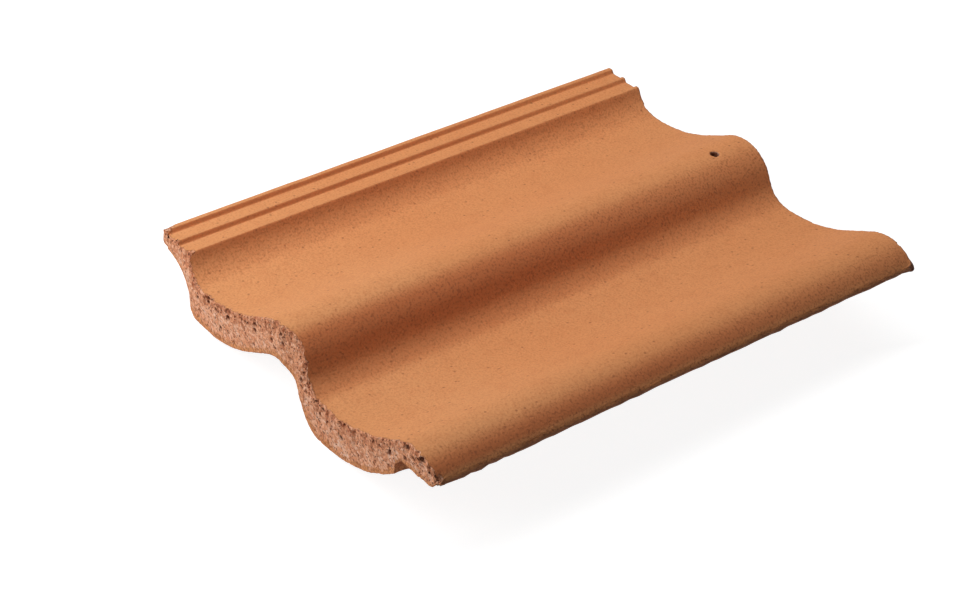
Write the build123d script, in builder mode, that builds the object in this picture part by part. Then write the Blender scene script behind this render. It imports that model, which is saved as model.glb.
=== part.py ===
from build123d import *
import os
from math import acos, cos, radians, sin

# Interlocking roof tile with a double wave, moulded in one piece and lying top up.
# +Y runs up the roof from the tail to the head, and +X from the side lock to the overlap.
# The origin is on the floor, under the middle of the tile.

# Overall sizes
length = 420.0
cover_width = 300.0  # the width that one tile covers once its neighbour laps it
lap_width = 32.0  # the strip that the neighbour laps
body = 12.0  # thickness of the moulded sheet

# Wave of the top face, from crest to crest: a steep fall, then a gentle rise
wave_count = 2
wave_height = 33.0
crest_to_edge = 23.0  # from the last crest to the overlap's outer edge
steep_angle = 59.5
gentle_angle = 29.0
gentle_line_least = 5.0  # shortest straight line in the gentle rise
crest_front_radius = 29.5
crest_back_radius = 36.0
trough_front_radius = 23.0

# Side lock: ribs that stand up along a level strip, with a channel between each two
lock_drop = 17.5  # from a crest down to the top of the ribs
lock_thickness = 13.5
lock_rib_count = 3
lock_rib_width = 3.0
lock_channel_depth = 3.5
lock_channel_wall = 1.5  # run of the channel's sloping walls
lock_channel_rise = 1.0  # what the channel's floor rises towards the next rib
lock_rib_radius = 0.8
lock_side_radius = 2.0

# Overlap: a level underside that lies over the neighbour's side lock
lap_gap = 2.5  # from the neighbour's ribs up to the underside of the overlap
lap_clearance = 11.5  # from the shoulder to the neighbour's side
lap_recess_width = 8.0
lap_recess_depth = 2.0
drip_rib_width = 3.2
drip_rib_depth = 3.2
drip_rib_inset = 1.8  # from the walls of the neighbour's outer channel
lap_edge_radius = 1.8

# Foot ribs across the tail, shaped to sit on the wave of the tile below
foot_thickness = 33.0  # from the top face down to the underside of the ribs
foot_shift = 3.0  # what keeps the ribs off the steep flanks of the tile below
foot_rib_count = 3
foot_bar_width = 16.0  # the first rib, flush with the tail
foot_rib_width = 9.0
foot_rib_pitch = 26.0
foot_bevel = 4.0

# Nibs under the troughs at the head, which hook over the batten
nib_width = 44.0
nib_length = 18.0
nib_inset = 8.0
nib_side_angle = 72.0
nib_edge_radius = 2.0

# Nail hole through the middle crest
nail_diameter = 6.5
nail_inset = 34.0

# Places across the tile and levels above the floor
width = cover_width + lap_width
left, right = -width / 2, width / 2
tail, head = -length / 2, length / 2
wave_pitch = cover_width / wave_count
last_crest = right - crest_to_edge
first_crest = last_crest - wave_count * wave_pitch  # in the air, over the side lock
nail_crest = last_crest - wave_pitch
trough_top = foot_thickness
crest_top = trough_top + wave_height
lock_top = crest_top - lock_drop
lap_level = lock_top + lap_gap
next_side = left + cover_width  # outer side of the neighbour on the right
lap_shoulder = next_side - lap_clearance

# Straight runs of the wave, and the radius that closes it over one pitch. A pitch that is
# too long for the flanks leaves a level line in each trough.
steep_cos, steep_sin = cos(radians(steep_angle)), sin(radians(steep_angle))
gentle_cos, gentle_sin = cos(radians(gentle_angle)), sin(radians(gentle_angle))
front_radii = crest_front_radius + trough_front_radius
steep_line = (wave_height - front_radii * (1 - steep_cos)) / steep_sin
steep_run = front_radii * steep_sin + steep_line * steep_cos
full_rise = wave_height * gentle_sin / (1 - gentle_cos)  # run and straight line together
gentle_run = min(wave_pitch - steep_run, full_rise - gentle_line_least)
trough_line = wave_pitch - steep_run - gentle_run
gentle_line = full_rise - gentle_run
back_radii = (gentle_run - gentle_line * gentle_cos) / gentle_sin
trough_back_radius = back_radii - crest_back_radius
troughs = [first_crest + steep_run + i * wave_pitch for i in range(wave_count)]


def run_of_fall(fall):
    """How far past a crest the wave has fallen this much."""
    rise = wave_height - fall
    crest_fall = crest_front_radius * (1 - steep_cos)
    if fall < crest_fall:
        return crest_front_radius * sin(acos(1 - fall / crest_front_radius))
    if rise < trough_front_radius * (1 - steep_cos):
        turned = acos(1 - rise / trough_front_radius)
        return steep_run - trough_front_radius * sin(turned)
    return crest_front_radius * steep_sin + (fall - crest_fall) * steep_cos / steep_sin


# The side lock's inner rib ends where the first steep flank falls through its top
lock_lip = first_crest + run_of_fall(lock_drop)
lock_rib_pitch = (lock_lip - left - lock_rib_width) / (lock_rib_count - 1)
lock_root = lock_top - lock_thickness / 2  # inside the strip, below its channels
drip_ribs = (
    next_side + lock_rib_width + drip_rib_inset,
    next_side + lock_rib_pitch - drip_rib_inset - drip_rib_width,
)


def across(y):
    """Plane square to the tile's length, with X across the tile and Y up."""
    return Plane.XZ.offset(-y)


def wave_line(depth, drop, shift):
    """Draw the wave from the crest before the tile to the crest after it.

    depth offsets the line square to itself; drop and shift move it down and left.
    """
    start = Vector(first_crest - shift, crest_top - depth - drop)
    end = start
    for _ in range(wave_count + 1):
        crest_front = JernArc(end, (1, 0), crest_front_radius - depth, -steep_angle)
        steep = Line(crest_front @ 1, crest_front @ 1 + (crest_front % 1) * steep_line)
        trough_front = JernArc(
            steep @ 1, steep % 1, trough_front_radius + depth, steep_angle
        )
        trough_end = trough_front @ 1 + Vector(trough_line, 0)
        if trough_line > 0:
            Line(trough_front @ 1, trough_end)
        trough_back = JernArc(
            trough_end, (1, 0), trough_back_radius + depth, gentle_angle
        )
        gentle = Line(
            trough_back @ 1, trough_back @ 1 + (trough_back % 1) * gentle_line
        )
        crest_back = JernArc(
            gentle @ 1, gentle % 1, crest_back_radius - depth, -gentle_angle
        )
        end = crest_back @ 1
    return start, end


def wave_band(depth=0.0, drop=0.0, shift=0.0):
    """Face between the top of the wave and a copy of it further down."""
    with BuildLine() as outline:
        top_start, top_end = wave_line(0, 0, 0)
        low_start, low_end = wave_line(depth, drop, shift)
        Line(top_start, low_start)
        Line(top_end, low_end)
    make_face(outline.edges())


def box_face(x_low, x_high, z_low, z_high, mode=Mode.ADD):
    with Locations(((x_low + x_high) / 2, (z_low + z_high) / 2)):
        Rectangle(x_high - x_low, z_high - z_low, mode=mode)


def keep_between(x_low, x_high, z_low=0.0):
    box_face(x_low, x_high, z_low, crest_top, mode=Mode.INTERSECT)


def clear_over_lock(z_low):
    """Take away what the wave has above the side lock."""
    box_face(left, lock_lip, z_low, crest_top, mode=Mode.SUBTRACT)


def lock_channel(start, stop):
    floor = lock_top - lock_channel_depth
    with BuildLine() as outline:
        Polyline(
            (start, lock_top),
            (start + lock_channel_wall, floor),
            (stop - lock_channel_wall, floor + lock_channel_rise),
            (stop, lock_top),
            close=True,
        )
    make_face(outline.edges(), mode=Mode.SUBTRACT)


def corners_within(x_low, x_high, z_low, z_high):
    """Filter for the corners of a section that lie in a window, edges included."""
    slack = 0.01
    return lambda corner: (
        x_low - slack < corner.X < x_high + slack
        and z_low - slack < corner.Y < z_high + slack
    )


def round_corners(section, window, radius):
    """Round the corners in a window, or as much as the shortest edge beside them allows."""
    beside = [edge.length for edge in section.edges() if any(map(window, edge.vertices()))]
    fillet(section.vertices().filter_by(window), min(radius, min(beside) / 2))


with BuildPart() as interlocking_tile:
    # Moulded sheet, with the side lock strip along its left
    with BuildSketch(across(head)) as sheet:
        wave_band(depth=body)
        keep_between(lock_lip - body, lap_shoulder)
        clear_over_lock(lock_top)
        box_face(left, lock_lip, lock_top - lock_thickness, lock_top)
        for i in range(lock_rib_count - 1):
            rib = left + i * lock_rib_pitch
            lock_channel(rib + lock_rib_width, rib + lock_rib_pitch)
        at_lip = corners_within(lock_lip, lock_lip, lock_top, lock_top)
        round_corners(sheet, at_lip, lock_rib_radius)
        last_rib = lock_lip - lock_rib_width
        in_ribs = corners_within(left, last_rib, lock_top - lock_channel_depth, lock_top)
        round_corners(sheet, in_ribs, lock_rib_radius)
        under_side = corners_within(left, left, 0, lock_root)
        round_corners(sheet, under_side, lock_side_radius)
    extrude(amount=length)

    # Overlap along the right, with a recess and two drip ribs on its underside
    with BuildSketch(across(head)) as overlap:
        wave_band(drop=crest_top)
        keep_between(lap_shoulder, right, lap_level)
        box_face(
            lap_shoulder,
            lap_shoulder + lap_recess_width,
            lap_level,
            lap_level + lap_recess_depth,
            mode=Mode.SUBTRACT,
        )
        outer_edge = corners_within(right, right, lap_level, crest_top)
        round_corners(overlap, outer_edge, lap_edge_radius)
        for x in drip_ribs:
            box_face(x, x + drip_rib_width, lap_level - drip_rib_depth, lap_level)
        rib_tips = corners_within(
            next_side, right, lap_level - drip_rib_depth, lap_level - drip_rib_depth
        )
        round_corners(overlap, rib_tips, lock_rib_radius)
    extrude(amount=length)

    # Foot ribs across the tail
    for i in range(foot_rib_count):
        rib_width = foot_rib_width if i else foot_bar_width
        with BuildSketch(across(tail + i * foot_rib_pitch + rib_width)):
            wave_band(drop=foot_thickness, shift=foot_shift)
            keep_between(left + lock_rib_width, lap_shoulder)
            clear_over_lock(lock_root)
        extrude(amount=rib_width)
    bar_back = tail + foot_bar_width
    bar_under = interlocking_tile.faces().filter_by(
        lambda face: face.normal_at().Z < -0.1
        and abs(face.bounding_box().min.Y - tail) < 0.01
        and abs(face.bounding_box().max.Y - bar_back) < 0.01
    )
    tail_face = interlocking_tile.faces().sort_by(Axis.Y)[0]
    chamfer(tail_face.edges() & bar_under.edges(), foot_bevel)

    # Nibs at the head, wider where they leave the sheet
    nib_height = trough_top - body / 2
    with BuildSketch(across(head - nib_inset)):
        for x in troughs:
            with Locations((x, nib_height / 2)):
                Trapezoid(nib_width, nib_height, nib_side_angle, rotation=180)
    extrude(amount=nib_length)
    near_nibs = interlocking_tile.edges().filter_by(lambda edge: edge.center().Y > 0)
    fillet(near_nibs.group_by(Axis.Z)[0], nib_edge_radius)

    # Nail hole
    with Locations((nail_crest, head - nail_inset, crest_top)):
        Hole(nail_diameter / 2, depth=2 * body)

interlocking_tile.part.label = "interlocking_tile"
os.makedirs("parts", exist_ok=True)
export_step(interlocking_tile.part, "parts/interlocking_tile.step")
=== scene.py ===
import bmesh
import bpy
import math
import numpy as np
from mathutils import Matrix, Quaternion, Vector, noise


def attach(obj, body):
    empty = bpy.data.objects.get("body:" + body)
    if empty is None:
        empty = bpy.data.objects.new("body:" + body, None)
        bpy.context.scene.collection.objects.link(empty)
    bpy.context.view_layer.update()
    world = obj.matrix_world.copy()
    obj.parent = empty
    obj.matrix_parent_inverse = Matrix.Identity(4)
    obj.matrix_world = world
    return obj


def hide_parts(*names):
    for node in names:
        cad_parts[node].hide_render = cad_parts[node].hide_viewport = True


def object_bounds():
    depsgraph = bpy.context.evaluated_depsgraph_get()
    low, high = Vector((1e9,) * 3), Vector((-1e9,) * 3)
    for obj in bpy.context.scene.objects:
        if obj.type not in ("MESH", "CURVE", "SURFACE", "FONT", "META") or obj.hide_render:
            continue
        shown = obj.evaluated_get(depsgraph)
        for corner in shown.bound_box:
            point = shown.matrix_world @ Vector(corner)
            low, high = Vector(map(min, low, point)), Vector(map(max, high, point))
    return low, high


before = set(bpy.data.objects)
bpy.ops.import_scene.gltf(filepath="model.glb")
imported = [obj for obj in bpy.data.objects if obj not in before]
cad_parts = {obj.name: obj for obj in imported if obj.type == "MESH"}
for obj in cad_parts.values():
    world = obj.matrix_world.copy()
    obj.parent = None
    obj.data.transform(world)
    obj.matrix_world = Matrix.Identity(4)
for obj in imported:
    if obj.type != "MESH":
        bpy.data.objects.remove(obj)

# A moulded concrete roof tile with a double wave, lying top up on a pale studio floor.
# Lengths in the dictionaries are in millimetres, apart from those of the stage and the view,
# which are in metres as the meshes are.

mm = 0.001
cadLow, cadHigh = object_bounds()  # the fixed model's box
left, right = cadLow.x / mm, cadHigh.x / mm
tail, head = cadLow.y / mm, cadHigh.y / mm
crestTop = cadHigh.z / mm

# Section of the tile

wave = {
    "pitch": 150.0,
    "count": 2,
    "depth": 33.0,  # from a crest down to a trough
    "crestToEdge": 23.0,
    "steepAngle": 59.5,
    "gentleAngle": 29.0,
    "crestFront": 29.5,  # radii
    "crestBack": 36.0,
    "troughFront": 23.0,
    "sheet": 12.0,  # thickness
    "steps": 60,  # points on each arc or straight line
}
lock = {
    "level": 15.5,  # top of the ribs, above a trough
    "thickness": 13.5,
    "ribCount": 3,
    "ribWidth": 3.0,
    "outerRib": 1.0,  # what the outer one is wider
    "channelDepth": 2.9,
    "channelWall": 1.5,
    "channelRise": 0.7,
    "soften": 0.7,  # half the width over which the corners of the ribs are worn round
    "topRound": 0.8,
    "underRound": 2.0,
}
overlap = {
    "cover": 300.0,
    "gap": 2.5,
    "clearance": 11.5,
    "recessWidth": 8.0,
    "recessDepth": 2.0,
    "dripWidth": 3.2,
    "dripDepth": 3.2,
    "dripInset": 1.8,
    "edgeRound": 1.8,
    "lean": 0.15,  # half of what an upright wall leans in the mesh
    "soften": 0.25,
}
foot = {
    "thickness": 33.0,
    "shift": 3.0,
    "ribs": ((0.0, 16.0), (26.0, 9.0), (52.0, 9.0)),  # start from the tail, and width
    "lean": 0.3,
    "soften": 0.25,
}
nib = {"width": 44.0, "length": 18.0, "inset": 8.0, "sideAngle": 72.0, "round": 2.0}

troughTop = crestTop - wave["depth"]
lockTop = troughTop + lock["level"]
lockUnder = lockTop - lock["thickness"]
lastCrest = right - wave["crestToEdge"]
firstCrest = lastCrest - wave["count"] * wave["pitch"]  # in the air, over the side lock
nextSide = left + overlap["cover"]  # the neighbour's side
shoulder = nextSide - overlap["clearance"]
lapLevel = lockTop + overlap["gap"]

# From a crest the wave falls steeply and then rises gently, in arcs and straight lines
steep, gentle = math.radians(wave["steepAngle"]), math.radians(wave["gentleAngle"])
steepCos, steepSin = math.cos(steep), math.sin(steep)
gentleCos, gentleSin = math.cos(gentle), math.sin(gentle)
frontRadii = wave["crestFront"] + wave["troughFront"]
steepLine = (wave["depth"] - frontRadii * (1 - steepCos)) / steepSin
steepRun = frontRadii * steepSin + steepLine * steepCos
gentleRun = wave["pitch"] - steepRun
gentleLine = wave["depth"] * gentleSin / (1 - gentleCos) - gentleRun
backRadii = (gentleRun - gentleLine * gentleCos) / gentleSin
troughs = [firstCrest + steepRun + i * wave["pitch"] for i in range(wave["count"])]


def waveLine(depth=0.0, drop=0.0, shift=0.0):  # points along the wave, or along a copy under it
    stretches = (  # length and turn of each
        (wave["crestFront"] * steep, -steep),
        (steepLine, 0.0),
        (wave["troughFront"] * steep, steep),
        ((backRadii - wave["crestBack"]) * gentle, gentle),
        (gentleLine, 0.0),
        (wave["crestBack"] * gentle, -gentle),
    )
    steps = wave["steps"]
    x, z, heading, line = firstCrest, crestTop, 0.0, []
    for run, turn in stretches * (wave["count"] + 1):
        for _ in range(steps):
            line.append((x - shift + depth * math.sin(heading), z - drop - depth * math.cos(heading)))
            middle = heading + turn / steps / 2
            x += run / steps * math.cos(middle)
            z += run / steps * math.sin(middle)
            heading += turn / steps
    return np.array(line).T


fineStep = 0.02  # between the points of each line of the section
fineX = np.arange(left, right + fineStep / 2, fineStep)


def roundOff(inside, radius):  # what a rounded edge takes away at a distance in from the side
    short = np.clip(radius - inside, 0, radius)
    return radius - np.sqrt(radius**2 - short**2)


def worn(z, half):  # the corners of a line drawn at fineStep, worn round
    reach = int(half / fineStep)
    padded = np.pad(z, reach, mode="edge")
    return np.convolve(padded, np.ones(2 * reach + 1) / (2 * reach + 1), mode="valid")


# Top of the tile: the side lock's ribs as far as its lip on the first steep flank, then the wave
lipFall = crestTop - lockTop - wave["crestFront"] * (1 - steepCos)
lip = firstCrest + wave["crestFront"] * steepSin + lipFall / math.tan(steep)
ribPitch = (lip - left - lock["ribWidth"]) / (lock["ribCount"] - 1)
channelFloor = lockTop - lock["channelDepth"]
ribCorners = [(left, lockTop)]
for i in range(lock["ribCount"] - 1):
    start, stop = left + i * ribPitch + lock["ribWidth"], left + (i + 1) * ribPitch
    start += 0 if i else lock["outerRib"]
    ribCorners += [
        (start, lockTop),
        (start + lock["channelWall"], channelFloor),
        (stop - lock["channelWall"], channelFloor + lock["channelRise"]),
        (stop, lockTop),
    ]
ribCorners.append((lip, lockTop))
fineTop = np.where(fineX < lip, np.interp(fineX, *np.array(ribCorners).T), np.interp(fineX, *waveLine()))
fineTop = worn(fineTop, lock["soften"])
fineTop -= roundOff(fineX - left, lock["topRound"]) + roundOff(right - fineX, overlap["edgeRound"])

# Underside: the sheet's, and from the shoulder on the overlap's with its recess and drip ribs
sheetUnder = np.interp(fineX, *waveLine(depth=wave["sheet"]))
sheetUnder = np.where(fineX < lip, np.minimum(sheetUnder, lockUnder), sheetUnder)
recessTop, recessEnd = lapLevel + overlap["recessDepth"], shoulder + overlap["recessWidth"]
lapCorners = [
    (shoulder + overlap["lean"], recessTop),
    (recessEnd - overlap["lean"], recessTop),
    (recessEnd + overlap["lean"], lapLevel),
]
dripTip = lapLevel - overlap["dripDepth"]
for start in (
    nextSide + lock["ribWidth"] + overlap["dripInset"],
    nextSide + ribPitch - overlap["dripInset"] - overlap["dripWidth"],
):
    stop = start + overlap["dripWidth"]
    lapCorners += [
        (start - overlap["lean"], lapLevel),
        (start + overlap["lean"], dripTip),
        (stop - overlap["lean"], dripTip),
        (stop + overlap["lean"], lapLevel),
    ]
lapUnder = np.interp(fineX, *np.array(lapCorners).T)
fineUnder = worn(np.where(fineX < shoulder, sheetUnder, lapUnder), overlap["soften"])
fineUnder += roundOff(fineX - left, lock["underRound"]) + roundOff(right - fineX, overlap["edgeRound"])

# Underside in a foot rib, which follows the wave of the tile below
footWave = np.interp(fineX, *waveLine(drop=foot["thickness"], shift=foot["shift"]))
hasFoot = (fineX > firstCrest - foot["shift"]) & (fineX < shoulder)
fineFoot = worn(np.where(hasFoot, np.minimum(footWave, sheetUnder), fineUnder), foot["soften"])


def topAt(x):
    return np.interp(x, fineX, fineTop)


def footOf(y):  # how far a row lies in a foot rib, from 0 to 1
    share = 0.0
    for start, width in foot["ribs"]:
        inside = min(y - tail - start, tail + start + width - y)
        share = max(share, min(max(0.5 + inside / foot["lean"] / 2, 0.0), 1.0))
    return share


nibHigh = head - nib["inset"]
nibLow = nibHigh - nib["length"]
nibSlope = math.tan(math.radians(nib["sideAngle"]))
nibFoot = nib["width"] / 2 - (troughTop - wave["sheet"] / 2) / nibSlope  # half its width at the floor


def underAt(x, y):
    sheetZ = np.interp(x, fineX, fineUnder)
    under = sheetZ + footOf(y) * (np.interp(x, fineX, fineFoot) - sheetZ)
    nibIn = min(y - nibLow, nibHigh - y)
    if nibIn >= 0:
        for trough in troughs:
            sides = np.maximum(np.abs(x - trough) - nibFoot, 0)
            under = np.minimum(under, sides * nibSlope + roundOff(nibIn, nib["round"]))
    return under


# Mesh of the tile: one sheet of quads over the top, the head and the underside, a finer one
# round the torn tail, a patch through the nail hole, and the two sides sewn up between them

mesh = {
    "columnStep": 2.4,
    "columnTurn": 15.0,  # degrees of bend that take a column of their own
    "leastGap": 0.12,  # between two columns
    "rowStep": 3.6,
    "underStep": 8.0,  # the same on the underside
    "underEnd": 2.0,  # the underside's last row, in from the head
    "headReach": (9.0, 6.5, 4.5, 3.0, 2.0, 1.4),  # rows on the top, in from the head
    "headRound": 0.9,
    "headRows": 9,
    "tailStep": 0.9,  # between the columns round the tail
    "tailReach": (14.0, 11.0, 8.6, 6.6, 5.0, 3.8, 2.8, 2.0, 1.4),  # rows on the top, in from the tail
    "tailGap": 3.0,  # from the first of those to the coarser sheet
    "tailRound": 1.0,
    "tailRows": 36,
    "liftRows": (0.25, 0.5, 0.75, 1.0),  # shares of the worn bottom edge
    "backRows": (0.2, 0.5, 0.8, 1.0),  # shares of the way from there to the first rib's far side
    "roundTurns": (0, 30, 60),  # degrees that the rows over an edge have turned
    "nibRows": (-0.3, 0.0, 0.6, 2.0),  # in from either end of a nib
    "sharpAngle": 50.0,
}
torn = {  # the tail, where the soft concrete was cut, and the head
    "setBack": (  # how far the top edge lies behind the plane of the cut, by place across the tile
        (-166, 6.0),
        (-150, 6.0),
        (-131, 7.0),
        (-127, 4.0),
        (-118, 1.0),
        (-105, 0.0),
        (-30, 0.0),
        (-10, 0.5),
        (2, 3.0),
        (12, 4.4),
        (18, 2.0),
        (28, 0.5),
        (45, -0.6),
        (100, 0.0),
        (143, 0.5),
        (160, 0.0),
        (166, 3.0),
    ),
    "setBackDown": 0.6,  # the share of the face's height over which that turns into the next one
    "underBack": (  # the same for the bottom edge
        (-166, 5.5),
        (-150, 5.0),
        (-131, 4.8),
        (-124, 1.5),
        (-116, 0.0),
        (-4, 0.0),
        (2, 1.0),
        (8, 1.6),
        (15, 0.0),
    ),
    "underLift": (  # how far the bottom edge is worn up from the foot's underside
        (-166, 1.0),
        (-120, 1.0),
        (-112, 2.2),
        (-100, 1.8),
        (-88, 0.8),
        (-46, 0.4),
        (-34, 1.3),
        (-10, 3.4),
        (8, 3.0),
        (26, 1.5),
        (32, 0.5),
        (98, 0.5),
    ),
    "footEnd": ((98, 0.0), (104, 0.7), (110, 0.9), (116, 2.2), (122.5, 4.0)),  # worn up at its end
    "lapLevel": (  # what was left hanging under the overlap at the tail
        (122.5, 41.0),
        (124, 42.0),
        (126, 45.0),
        (128, 47.3),
        (134, 47.8),
        (146, 47.3),
        (152, 48.5),
        (158, 48.2),
        (161, 49.5),
        (164, 54.0),
        (166, 56.5),
    ),
    "lapTip": 160.0,  # from here on that ends sooner behind the cut
    "headRoundMost": 0.3,  # shares of the thickness that no edge takes more of
    "tailRoundMost": 0.2,
    "liftMost": 0.3,
    "ragged": 1.9,
    "raggedSize": 4.0,
}
nail = {
    "radius": 3.25,
    "inset": 34.0,
    "steps": 28,
    "turn": 0.05,  # radians to the first point
    "block": 8.0,  # half the patch that is left out of the sheet for it
    "rim": ((6.3, 0.0), (5.2, 0.0), (4.4, 0.05), (3.8, 0.3), (3.4, 0.8), (3.25, 1.6)),  # radius, drop
    "underRim": 0.7,  # the lower rim's drop, as a share of that
    "wall": (0.2, 0.8, 8),  # first and last row by share of the depth, and their number
    "wobble": 0.12,
}


def spreadColumns(step):
    weight = np.hypot(np.diff(fineX), np.diff(fineTop)) / step
    for line in (fineTop, fineUnder, fineFoot):
        angle = np.degrees(np.arctan2(np.diff(line), np.diff(fineX)))
        weight[1:] += np.abs(np.diff(angle)) / mesh["columnTurn"]
    total = np.concatenate([[0], np.cumsum(weight)])
    x = np.interp(np.linspace(0, total[-1], int(total[-1]) + 1), total, fineX)
    kept = [x[0]]
    for place in x[1:-1]:
        if place - kept[-1] >= mesh["leastGap"] and x[-1] - place >= mesh["leastGap"]:
            kept.append(place)
    return np.array(kept + [x[-1]])


def spreadRows(low, high, step, marks=()):
    marks = sorted(m for m in marks if low < m < high)
    rows = [low]
    for mark in marks + [high]:
        count = max(1, math.ceil((mark - rows[-1]) / step))
        rows += list(np.linspace(rows[-1], mark, count + 1)[1:])
    return rows


def row(x, y, z):
    return np.stack([x, np.broadcast_to(y, x.shape), np.broadcast_to(z, x.shape)], axis=1)


points, faces = [], []  # the whole tile's


def addPoints(block):  # returns the indexes in the block's shape
    first = sum(len(p) for p in points)
    points.append(block.reshape(-1, 3))
    return np.arange(first, first + block[..., 0].size).reshape(block.shape[:-1])


def quads(grid, leaveOut=()):
    for r in range(len(grid) - 1):
        for c in range(grid.shape[1] - 1):
            if (r, c) not in leaveOut:
                faces.append((grid[r, c], grid[r, c + 1], grid[r + 1, c + 1], grid[r + 1, c]))


def sew(first, second, firstAt, secondAt):  # two edges, and how far along each point of them is
    i = j = 0
    while i < len(first) - 1 or j < len(second) - 1:
        onFirst = j == len(second) - 1 or (i < len(first) - 1 and firstAt[i + 1] <= secondAt[j + 1])
        corner = first[i + 1] if onFirst else second[j + 1]
        face = (first[i], second[j], corner)
        i, j = (i + 1, j) if onFirst else (i, j + 1)
        if len(set(face)) == 3:
            faces.append(face)


columns = spreadColumns(mesh["columnStep"])
tailColumns = spreadColumns(mesh["tailStep"])
roundTurns = np.radians(mesh["roundTurns"])
firstRib = foot["ribs"][0][1]  # its width, which starts at the tail

# The sheet, from the tail over the top, down the head and back along the underside
wrapReach = mesh["tailReach"][0] + mesh["tailGap"]
topRows = spreadRows(tail + wrapReach, head - mesh["headReach"][0], mesh["rowStep"])
topRows += [head - d for d in mesh["headReach"][1:]]
sheetRows = [row(columns, y, topAt(columns)) for y in topRows]
topZ, underZ = topAt(columns), underAt(columns, head)
curl = np.minimum(mesh["headRound"], (topZ - underZ) * torn["headRoundMost"])
for a in roundTurns:
    sheetRows.append(row(columns, head - curl * (1 - math.sin(a)), topZ - curl * (1 - math.cos(a))))
for t in np.linspace(0, 1, mesh["headRows"]):
    sheetRows.append(row(columns, head, topZ - curl + t * (underZ - topZ + 2 * curl)))
headMiddle = len(sheetRows) - 1 - mesh["headRows"] // 2
for a in roundTurns[::-1]:
    sheetRows.append(row(columns, head - curl * (1 - math.sin(a)), underZ + curl * (1 - math.cos(a))))
marks = [nibHigh - d for d in mesh["nibRows"]] + [nibLow + d for d in mesh["nibRows"]]
for start, width in foot["ribs"]:
    for side in (tail + start, tail + start + width):
        marks += [side - foot["lean"], side + foot["lean"]]
underLow, underHigh = tail + firstRib - foot["lean"], head - mesh["underEnd"]
underRows = spreadRows(underLow, underHigh, mesh["underStep"], marks)[::-1]
firstUnder = len(sheetRows)
for y in underRows:
    sheetRows.append(row(columns, y, underAt(columns, y)))
sheet = addPoints(np.array(sheetRows))

# The wrap, from the sheet's first row over the tail edge, down the torn face and back under it
topZ, footZ = topAt(tailColumns), underAt(tailColumns, tail + firstRib / 2)
lowZ = footZ + np.interp(tailColumns, *zip(*torn["footEnd"]))
lowZ = np.where(tailColumns > shoulder, np.interp(tailColumns, *zip(*torn["lapLevel"])), lowZ)
curl = np.minimum(mesh["tailRound"], (topZ - lowZ) * torn["tailRoundMost"])
lift = np.interp(tailColumns, *zip(*torn["underLift"]))
lift = np.minimum(lift, (topZ - lowZ) * torn["liftMost"])
wrapRows = [row(tailColumns, tail + d, topZ) for d in mesh["tailReach"]]
for a in roundTurns:
    wrapRows.append(row(tailColumns, tail + curl * (1 - math.sin(a)), topZ - curl * (1 - math.cos(a))))
firstTorn = len(wrapRows)
for t in np.linspace(0, 1, mesh["tailRows"]):
    wrapRows.append(row(tailColumns, tail, topZ - curl + t * (lowZ + lift - topZ + curl)))
lastTorn = len(wrapRows)
tailMiddle = lastTorn - mesh["tailRows"] // 2
for t in mesh["liftRows"]:
    wrapRows.append(row(tailColumns, tail + t * lift, lowZ + (1 - t) * lift))
back = firstRib - 2 * foot["lean"]  # the last row, in from the tail
for t in mesh["backRows"]:
    fade = np.where(tailColumns > torn["lapTip"], (1 - t) ** 3, 1 - t**4)
    z = footZ + (lowZ - footZ) * fade
    wrapRows.append(row(tailColumns, tail + lift + t * (back - lift), z))
wrapRows = np.array(wrapRows)

# Its rows move back from the plane of the cut
setBack = np.interp(tailColumns, *zip(*torn["setBack"]))
for i, x in enumerate(tailColumns):
    setBack[i] += torn["ragged"] * noise.fractal(Vector((x / torn["raggedSize"], 2.5, 0)), 0.6, 2, 4)
underBack = np.interp(tailColumns, *zip(*torn["underBack"]))
wrapRows[:firstTorn, :, 1] += setBack * (1 - (wrapRows[:firstTorn, :, 1] - tail) / wrapReach)
for i in range(firstTorn, lastTorn):
    down = min((i - firstTorn) / mesh["tailRows"] / torn["setBackDown"], 1)
    wrapRows[i, :, 1] += underBack + (setBack - underBack) * (1 - down * down * (3 - 2 * down))
wrapRows[lastTorn:, :, 1] += underBack * (1 - (wrapRows[lastTorn:, :, 1] - tail) / back)
wrap = addPoints(wrapRows)

nailX, nailY = lastCrest - wave["pitch"], head - nail["inset"]


def cellsRoundNail(rows, first):  # the sheet's cells round the nail hole, and the points round those
    r = [first + i for i, y in enumerate(rows) if abs(y - nailY) < nail["block"]]
    c = [i for i, x in enumerate(columns) if abs(x - nailX) < nail["block"]]
    cells = {(i, j) for i in range(r[0], r[-1]) for j in range(c[0], c[-1])}
    ring = [sheet[i, j] for i in r for j in c if i in (r[0], r[-1]) or j in (c[0], c[-1])]
    return cells, ring


def sewRound(outer, inner):
    placed = np.concatenate(points)

    def inTurn(ring):
        angles = np.arctan2(placed[ring, 1] - nailY, placed[ring, 0] - nailX)
        order = np.argsort(angles)
        angles = angles[order]
        return [ring[i] for i in order] + [ring[order[0]]], list(angles) + [angles[0] + 2 * math.pi]

    first, firstAt = inTurn(np.array(outer))
    second, secondAt = inTurn(np.array(inner))
    sew(first, second, firstAt, secondAt)


topCells, topRing = cellsRoundNail(topRows, 0)
underCells, underRing = cellsRoundNail(underRows, firstUnder)
quads(sheet, topCells | underCells)
quads(wrap)

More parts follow.
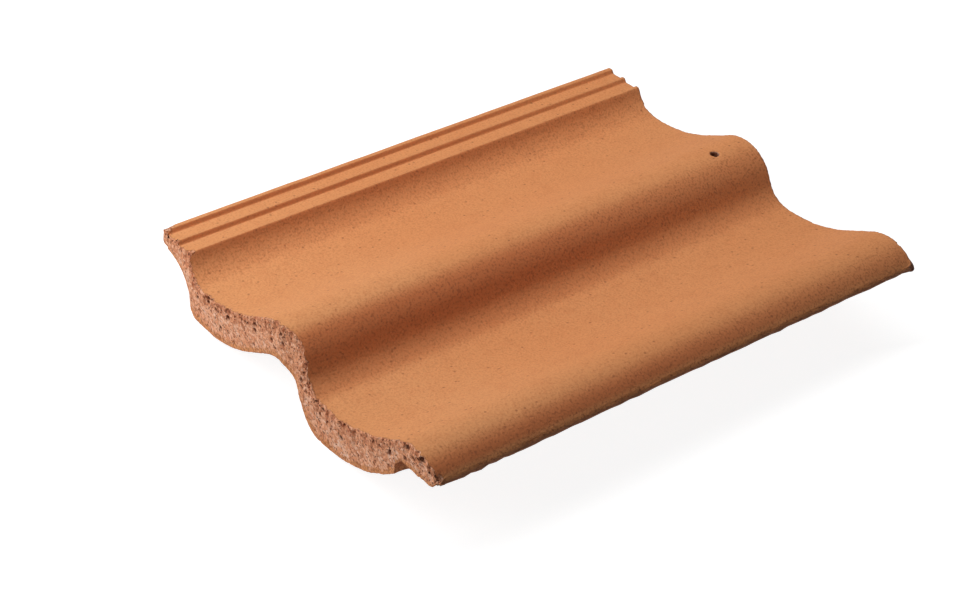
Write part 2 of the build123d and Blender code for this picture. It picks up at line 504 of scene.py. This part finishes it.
angles = np.linspace(-math.pi, math.pi, nail["steps"], endpoint=False) + nail["turn"]
wobble = np.array([noise.noise(Vector((math.cos(a), math.sin(a), 3.1))) for a in angles]) * nail["wobble"]
levels = [(r, 0.0, -drop) for r, drop in nail["rim"]]
levels += [(nail["radius"], share, 0.0) for share in np.linspace(*nail["wall"])]
levels += [(r, 1.0, drop * nail["underRim"]) for r, drop in reversed(nail["rim"])]
holeRows = []
for radius, share, offset in levels:
    x = nailX + (radius + wobble) * np.cos(angles)
    y = nailY + (radius + wobble) * np.sin(angles)
    under = np.interp(x, fineX, fineUnder)
    holeRows.append(np.stack([x, y, topAt(x) + share * (under - topAt(x)) + offset], axis=1))
hole = addPoints(np.array(holeRows))
quads(np.concatenate([hole, hole[:, :1]], axis=1))
sewRound(topRing, hole[0])
sewRound(underRing, hole[-1])

sew(wrap[0], sheet[0], tailColumns, columns)
sew(wrap[-1], sheet[-1], tailColumns, columns)
placed = np.concatenate(points)
for side in (0, -1):
    upper = list(wrap[tailMiddle::-1, side]) + list(sheet[: headMiddle + 1, side])
    lower = list(wrap[tailMiddle:, side]) + list(sheet[headMiddle:, side][::-1])
    along = [placed[e, 1] + 0.001 * np.arange(len(e)) for e in (upper, lower)]  # always on the rise
    sew(upper, lower, *along)

tilePoints = np.concatenate(points)
print("tile mesh:", len(tilePoints), "points,", sum(len(f) - 2 for f in faces), "triangles")

tileMesh = bpy.data.meshes.new("roofTile")
tileMesh.from_pydata((tilePoints * mm).tolist(), [], [[int(i) for i in f] for f in faces])
shell = bmesh.new()
shell.from_mesh(tileMesh)
bmesh.ops.recalc_face_normals(shell, faces=shell.faces)
print("open edges:", sum(1 for e in shell.edges if len(e.link_faces) != 2))
shell.to_mesh(tileMesh)
shell.free()

# Relief: the skin's slight unevenness, and grain, pits and chips where the concrete is torn

skin = {"waves": ((0.16, 34.0, 1, 3), (0.05, 7.0, 2, 1))}  # height, size, seed and octaves
relief = {
    "fade": 0.3,  # how much less torn each row on the top is than the next one
    "lowShare": 0.28,  # how torn the lowest part of the tail is, which is smoother
    "lowBand": (0.1, 0.35),  # shares of the face's height between which that changes
    "headShare": 0.5,
    "lockEnd": ((-134, 0.5), (-124, 1.0)),  # finer on the side lock, by place across the tile
    "squeeze": 0.85,  # the pattern's change across and down, so that grains seen aslant look round
    "shear": 0.33,
    "grain": 2.5,
    "grainHeight": 0.6,
    "grainRim": 0.35,  # how far in from its rim a grain has its full height
    "grainSunk": 0.7,  # the share of its height that lies below the face
    "pit": 4.6,
    "pitDepth": 1.7,
    "pitRadii": (0.2, 0.48),  # least and most, as shares of the size
    "pitShare": 0.42,
    "pitShareTop": 0.4,  # what is added to that along the top edge
    "pitRow": 2,  # the torn row where most is added
    "pitRows": 9,  # rows from there to where none is
    "uneven": 0.4,
    "unevenSize": 9.0,
}
chip = {
    "places": (  # place, radius and depth of what broke off the corners, and how dark it is
        (164.5, -208.0, 58.0, 5.0, 1.2, 0.35),
        (150.0, -209.0, 55.0, 5.0, 1.0, 0.0),
        (166.0, 211.0, 54.0, 6.0, -1.5, 1.0),  # this one is a burr, and stands out
        (-133.0, -203.0, 47.0, 5.0, 0.8, 0.25),
        (-167.0, -205.0, 49.0, 9.0, 0.9, 0.1),
    ),
    "reach": 1.3,  # in radii
    "ragged": 0.3,
    "raggedSize": 2.5,
    "steepness": 1.6,  # of the break at its rim
}
nose = {"width": 3.0, "top": 56.0, "uneven": 0.7, "size": 4.0}  # the overlap's outer edge
holeInside = {"rows": slice(4, -4), "torn": 1.0, "pit": 0.45}  # painted shade, dark between its rims

tornShare = np.zeros(len(tilePoints))
nearTop = np.zeros(len(tilePoints))
for i in range(len(wrap)):
    if i < firstTorn:
        tornShare[wrap[i]] = max(0.0, 1 + (i + 1 - firstTorn) * relief["fade"])
    else:
        up = (lastTorn - i) / mesh["tailRows"]
        tornShare[wrap[i]] = np.interp(up, relief["lowBand"], (relief["lowShare"], 1))
    nearTop[wrap[i]] = max(0.0, 1 - abs(i - firstTorn - relief["pitRow"]) / relief["pitRows"])
headFirst = len(topRows)
headLast = headFirst + mesh["headRows"] + 2 * len(roundTurns)
tornShare[sheet[headFirst:headLast]] = relief["headShare"]


def smooth(places, size, seed, octaves=1):  # soft noise between about -1 and 1
    shift = Vector((3.7 * seed, 1.9 * seed, 5.3 * seed))
    return np.array([noise.fractal(Vector(p) / size + shift, 1, 2, octaves) for p in places])


def grains(places, size, seed):  # how far in from a grain's rim, from its middle, and its chance
    shift = Vector((2.3 * seed, 4.1 * seed, 1.7 * seed))
    found = [noise.voronoi(Vector(p) / size + shift) for p in places]
    near, second = np.array([distances[:2] for distances, _ in found]).T
    chance = np.array([middles[0] for _, middles in found]) @ (12.9, 78.2, 37.7)  # scattered below
    return second - near, near, np.abs(np.sin(chance) * 4375.8) % 1


normals = np.zeros(3 * len(tilePoints))
tileMesh.vertex_normals.foreach_get("vector", normals)
normals = normals.reshape(-1, 3)

push = sum(height * smooth(tilePoints, *rest) for height, *rest in skin["waves"])
rough = np.nonzero(tornShare)[0]
places = tilePoints[rough]
slanted = places @ ((relief["squeeze"], 0, relief["shear"]), (0, 1, 0), (0, 0, 1))
rim, _, chance = grains(slanted, relief["grain"], 1)
grainUp = np.minimum(rim / relief["grainRim"], 1) - relief["grainSunk"]
stand = relief["grainHeight"] * grainUp * (0.5 + chance)
_, near, chance = grains(slanted, relief["pit"], 2)
chance /= relief["pitShare"] + relief["pitShareTop"] * nearTop[rough]
small, large = relief["pitRadii"]
radii = large - (large - small) * np.minimum(chance, 1)
depth = np.maximum(1 - (near / radii) ** 2, 0) * (chance < 1)
pits = np.zeros(len(tilePoints))
# the pits' depth, kept to paint shade in them
pits[rough] = depth * tornShare[rough]
stand += relief["uneven"] * smooth(places, relief["unevenSize"], 3, 2) - relief["pitDepth"] * depth
push[rough] += tornShare[rough] * stand * np.interp(places[:, 0], *zip(*relief["lockEnd"]))
for x, y, z, radius, depth, dark in chip["places"]:
    far = np.linalg.norm(tilePoints - (x, y, z), axis=1) / radius
    close = np.nonzero(far < chip["reach"])[0]
    far = far[close] + chip["ragged"] * smooth(tilePoints[close], chip["raggedSize"], 4)
    share = np.clip(chip["steepness"] * (1 - far), 0, 1)
    push[close] -= depth * share
    tornShare[close] = np.maximum(tornShare[close], share)
    pits[close] = np.maximum(pits[close], share * dark)
edge = np.nonzero((tilePoints[:, 0] > right - nose["width"]) & (tilePoints[:, 2] < nose["top"]))[0]
push[edge] += nose["uneven"] * smooth(tilePoints[edge], nose["size"], 5, 2)
# painted shade inside the nail hole
inHole = hole[holeInside["rows"]]
tornShare[inHole], pits[inHole] = holeInside["torn"], holeInside["pit"]
tilePoints += normals * push[:, None]
tilePoints[:, 2] = np.maximum(tilePoints[:, 2], 0)
tileMesh.vertices.foreach_set("co", (tilePoints * mm).ravel())
for name, values in (("torn", tornShare), ("pit", pits), ("nearTop", nearTop)):
    tileMesh.attributes.new(name, "FLOAT", "POINT").data.foreach_set("value", values)
tileMesh.shade_smooth()
tileMesh.set_sharp_from_angle(angle=math.radians(mesh["sharpAngle"]))
tileMesh.update()
print("relief done")

roofTile = bpy.data.objects.new("roofTile", tileMesh)
bpy.context.scene.collection.objects.link(roofTile)
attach(roofTile, "root")
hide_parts("interlocking_tile")

# Materials


class Wire:  # one output socket in a shader, with arithmetic
    def __init__(self, tree, socket):
        self.tree = tree
        self.socket = socket

    def node(self, kind, settings, inputs, output=0):
        made = self.tree.nodes.new("ShaderNode" + kind)
        for name, value in settings.items():
            if name == "stops":
                ramp = made.color_ramp.elements
                while len(ramp) < len(value):
                    ramp.new(0.5)
                for stop, (position, colour) in zip(ramp, value):
                    stop.position = position
                    stop.color = colour
            else:
                setattr(made, name, value)
        for name, value in inputs.items():
            if isinstance(value, Wire):
                self.tree.links.new(value.socket, made.inputs[name])
            else:
                made.inputs[name].default_value = value
        return Wire(self.tree, made.outputs[output] if made.outputs else None)

    def maths(self, operation, *terms):
        return self.node("Math", {"operation": operation}, dict(enumerate(terms)))

    def __add__(self, other):
        return self.maths("ADD", self, other)

    def __sub__(self, other):
        return self.maths("SUBTRACT", self, other)

    def __rsub__(self, other):
        return self.maths("SUBTRACT", other, self)

    def __mul__(self, other):
        return self.maths("MULTIPLY", self, other)

    __radd__ = __add__
    __rmul__ = __mul__

    def above(self, limit):  # 1 where it is more than the limit, and 0 elsewhere
        return self.maths("GREATER_THAN", self, limit)

    def between(self, low, high):  # 0 below low and 1 above high, with a soft step
        inputs = {"Value": self, "From Min": low, "From Max": high}
        return self.node("MapRange", {"interpolation_type": "SMOOTHSTEP"}, inputs)

    def past(self, places):  # the same for a coordinate, by two places in millimetres
        low, high = places
        return self.between(low * mm, high * mm)

    def mix(self, first, second):  # two colours, by this share of the second
        return self.node("Mix", {"data_type": "RGBA"}, {0: self, 6: first, 7: second}, 2)

    def ramp(self, stops):
        return self.node("ValToRGB", {"stops": stops}, {"Fac": self})

    def moved(self, seed):
        return self.node("VectorMath", {"operation": "ADD"}, {0: self, 1: (seed, seed, seed)})

    def noise(self, size, detail, seed):  # size in millimetres
        inputs = {"Vector": self.moved(seed), "Scale": 1 / (size * mm), "Detail": detail}
        return self.node("TexNoise", {}, inputs)

    def cells(self, size, seed):  # how far from the middle of a cell, and the cell's chance
        inputs = {"Vector": self.moved(seed), "Scale": 1 / (size * mm)}
        far = self.node("TexVoronoi", {}, inputs, "Distance")
        colour = Wire(self.tree, far.socket.node.outputs["Color"])
        return far, self.node("SeparateColor", {}, {"Color": colour}, "Red")


def newMaterial(name):  # and a wire that its nodes are made with
    material = bpy.data.materials.new(name)
    material.use_nodes = True
    material.node_tree.nodes.clear()
    return material, Wire(material.node_tree, None)


concrete = {
    "skin": (0.750, 0.297, 0.107, 1),
    "skinPale": (0.770, 0.330, 0.128, 1),
    "skinDeep": (0.560, 0.170, 0.052, 1),
    "flank": (0.620, 0.188, 0.060, 1),  # painted shade on what falls steeply to the right
    "mottle": (0.340, 0.095, 0.030, 1),
    "speck": (0.300, 0.085, 0.030, 1),
    # painted shade in holes and pits, and painted shadow under the overlap's edge
    "pit": (0.130, 0.035, 0.014, 1),
    "dust": (0.240, 0.075, 0.035, 1),
    "nose": (0.330, 0.130, 0.065, 1),  # painted shade on the overlap's outer edge
    "cut": (
        (0.0, (0.30, 0.09, 0.04, 1)),
        (0.12, (0.58, 0.21, 0.10, 1)),
        (0.45, (0.80, 0.35, 0.18, 1)),
        (0.75, (0.88, 0.50, 0.33, 1)),
        (1.0, (0.92, 0.67, 0.54, 1)),
    ),
    "toneSize": 90.0,  # of the patterns
    "patchSize": 14.0,
    "sandSize": 1.7,
    "fineSize": 0.7,
    "dotSize": 6.0,
    "grainSize": 1.8,
    "dustSize": 1.5,
    "holeSize": 3.2,
    "tailEnd": (-170.0, -40.0),  # places along the tile between which a paint comes or goes
    "headEnd": (-40.0, 200.0),
    "upFlank": (36.0, 55.0),  # the same upwards
    "overCrest": (36.0, 62.0),
    "noseTop": (53.5, 56.0),
    "noseUnder": (51.5, 52.7),
    "lockLip": (-131.0, -127.0),  # and across it
    "lockFlank": (-110.0, -70.0),
    "wavesFrom": (-135.0, -125.0),
    "noseFrom": (161.0, 165.0),
    "noseFull": (163.5, 165.5),
    "roughness": 0.9,
    "bump": 0.5,
}
material, shader = newMaterial("concrete")
place = shader.node("TexCoord", {}, {}, "Object")
normal = shader.node("TexCoord", {}, {}, "Normal")
facing = shader.node("SeparateXYZ", {}, {"Vector": normal}, "X")
across, along, up = (shader.node("SeparateXYZ", {}, {"Vector": place}, axis) for axis in "XYZ")
tornAt, pitAt, nearTopAt = (
    shader.node("Attribute", {"attribute_name": name}, {}, "Fac") for name in ("torn", "pit", "nearTop")
)

# The skin is paler towards the tail; painted shade makes it deeper and more mottled on what falls to the
# right
patchy = place.noise(concrete["patchSize"], 3, 2)
sand = place.noise(concrete["sandSize"], 2, 3)
blotch = place.noise(concrete["sandSize"], 4, 4)
tone = place.noise(concrete["toneSize"], 2, 1)
pale = (1 - along.past(concrete["tailEnd"])) * 0.8 + tone.between(0.35, 0.65) * 0.3
paint = pale.mix(concrete["skin"], concrete["skinPale"])
high = up.past(concrete["upFlank"]) * 0.5 + 0.5
lean = facing - up.past(concrete["overCrest"]) * 0.16
byLock = across.past(concrete["lockLip"]) - across.past(concrete["lockFlank"])
# painted shade: a deeper colour on the upper steep flanks that face right, away from the light
flank = lean.between(-0.06, 0.4) * high * (1 - along.past(concrete["headEnd"]) * 0.55)
flank = flank * (1 - byLock * 0.5) * (1 - across.past(concrete["noseFrom"]) * 0.9)
paint = flank.mix(paint, concrete["flank"])
paint = (patchy.between(0.45, 0.75) * 0.15).mix(paint, concrete["skinDeep"])
paint = (sand.between(0.45, 0.7) * 0.3).mix(paint, concrete["skinDeep"])
# mottling everywhere, made stronger on the upper flanks that face right as painted shade
mottleAndShade = lean.between(-0.15, 0.35) * high * across.past(concrete["wavesFrom"]) * 0.5 + 0.25
paint = (blotch.between(0.45, 0.72) * mottleAndShade).mix(paint, concrete["mottle"])
dotAt, dotChance = place.cells(concrete["dotSize"], 1)
dot = (dotAt + dotChance.above(0.3)).between(0.06, 0.22)  # 0 in a dot, which 3 cells in 10 have
paint = (dot * 0.65 + 0.35).mix(concrete["speck"], paint)

# Painted shade makes the overlap's outer edge deeper, and painted shadow makes it dark along its lower
# side
noseShade = across.past(concrete["noseFull"]) * (1 - up.past(concrete["noseTop"]))
paint = (noseShade * 0.85).mix(paint, concrete["nose"])
# painted shadow along the edge's lower side
paint = (noseShade * (1 - up.past(concrete["noseUnder"]))).mix(paint, concrete["pit"])

# The torn concrete shows its grains and the dust and holes between them; the dark of the holes and of the
# pits is painted shade
sheared = {"X": across * relief["squeeze"], "Y": along, "Z": up + across * relief["shear"]}
slanted = shader.node("CombineXYZ", {}, sheared)
grainAt, grainChance = slanted.cells(concrete["grainSize"], 2)
dustAt, dustChance = slanted.cells(concrete["dustSize"], 7)
holeAt, holeChance = slanted.cells(concrete["holeSize"], 5)
cut = (grainChance * 0.55 + patchy * 0.6 - nearTopAt * 0.2 - 0.06).ramp(concrete["cut"])
cut = (grainAt.between(0.5, 0.85) * 0.4).mix(cut, concrete["speck"])
cut = (dustAt + dustChance.above(0.35)).between(0.22, 0.48).mix(concrete["dust"], cut)
# painted shade in the holes and the pits
cut = (holeAt + holeChance * 0.45).between(0.15, 0.34).mix(concrete["pit"], cut)
cut = pitAt.between(0.1, 0.7).mix(cut, concrete["pit"])

# Towards it the skin turns grainy, and gives way to it along an uneven line
grainy = tornAt.between(0.1, 0.35)
paint = (grainAt.between(0.35, 0.7) * grainy * 0.7).mix(paint, concrete["speck"])
broken = (tornAt + (sand - 0.5) * 0.9 + (patchy - 0.5) * 0.6).between(0.35, 0.6)
coarse = (1 - grainAt) * 1.6 + place.noise(concrete["fineSize"], 1, 4)
height = sand * 0.8 * (1 - grainy) + coarse * grainy
bumped = shader.node("Bump", {}, {"Distance": concrete["bump"] * mm, "Height": height})
finish = {"Base Color": broken.mix(paint, cut), "Roughness": concrete["roughness"], "Normal": bumped}
shader.node("OutputMaterial", {}, {"Surface": shader.node("BsdfPrincipled", {}, finish)})
tileMesh.materials.append(material)
print("concrete done")

# Floor, light and camera

stage = {
    "floorSize": 12.0,
    "floorColour": (0.85, 0.85, 0.85, 1),
    "whiteShare": 0.6,  # of the floor's look that is plain white, so that the shadow stays faint
    "white": 1.5,
    "ambient": 0.03,
    "lamps": {  # watts, place, aim and size
        "key": (22.0, (-0.244, 0.299, 1.254), (0.063, 0.494, -0.867), (0.1, 3.88)),
        "fill": (5.0, (0.1, -2.2, 0.25), (0.0, 1.0, -0.1), (0.5, 0.3)),
    },
}
floorMesh = bpy.data.meshes.new("floor")
half = stage["floorSize"] / 2
corners = [(-half, -half, 0), (half, -half, 0), (half, half, 0), (-half, half, 0)]
floorMesh.from_pydata(corners, [], [(0, 1, 2, 3)])
floor = bpy.data.objects.new("floor", floorMesh)
bpy.context.scene.collection.objects.link(floor)


def seenWhite(shader):  # 1 for the rays that only show the background
    kinds = ("Camera", "Glossy", "Transmission")
    shown = [shader.node("LightPath", {}, {}, f"Is {kind} Ray") for kind in kinds]
    return shader.maths("MINIMUM", shown[0] + shown[1] + shown[2], 1)


material, shader = newMaterial("floor")
matt = shader.node("BsdfDiffuse", {}, {"Color": stage["floorColour"]})
white = shader.node("Emission", {}, {"Strength": stage["white"]})
blend = {0: seenWhite(shader) * stage["whiteShare"], 1: matt, 2: white}
shader.node("OutputMaterial", {}, {"Surface": shader.node("MixShader", {}, blend)})
floorMesh.materials.append(material)

world = bpy.data.worlds.new("studio")
world.use_nodes = True
world.node_tree.nodes.clear()
bpy.context.scene.world = world
shader = Wire(world.node_tree, None)
strength = seenWhite(shader) * (1 - stage["ambient"]) + stage["ambient"]
sky = shader.node("Background", {}, {"Color": (1, 1, 1, 1), "Strength": strength})
shader.node("OutputWorld", {}, {"Surface": sky})

for name, (watts, position, aim, size) in stage["lamps"].items():
    lamp = bpy.data.objects.new(name, bpy.data.lights.new(name, "AREA"))
    lamp.data.shape = "RECTANGLE"
    lamp.data.size, lamp.data.size_y = size
    lamp.data.energy = watts
    lamp.location = position
    lamp.rotation_mode = "QUATERNION"
    lamp.rotation_quaternion = Vector(aim).to_track_quat("-Z", "Y")
    lamp.visible_camera = False
    bpy.context.scene.collection.objects.link(lamp)

view = {
    "place": (0.9585, -0.8560, 0.9643),
    "turn": -50.63,
    "tilt": 36.97,
    "roll": 3.88,
    "lens": 83.29,
    "shift": 0.0275,
}
camera = bpy.data.objects.new("camera", bpy.data.cameras.new("camera"))
bpy.context.scene.collection.objects.link(camera)
turn, tilt = math.radians(view["turn"]), math.radians(view["tilt"])
look = Vector((math.sin(turn) * math.cos(tilt), math.cos(turn) * math.cos(tilt), -math.sin(tilt)))
roll = Quaternion((0, 0, 1), math.radians(view["roll"]))
camera.location = view["place"]
camera.rotation_mode = "QUATERNION"
camera.rotation_quaternion = look.to_track_quat("-Z", "Y") @ roll
camera.data.lens = view["lens"]
camera.data.shift_x = view["shift"]
bpy.context.scene.camera = camera
bpy.context.scene.view_settings.view_transform = "Standard"
print("stage done")
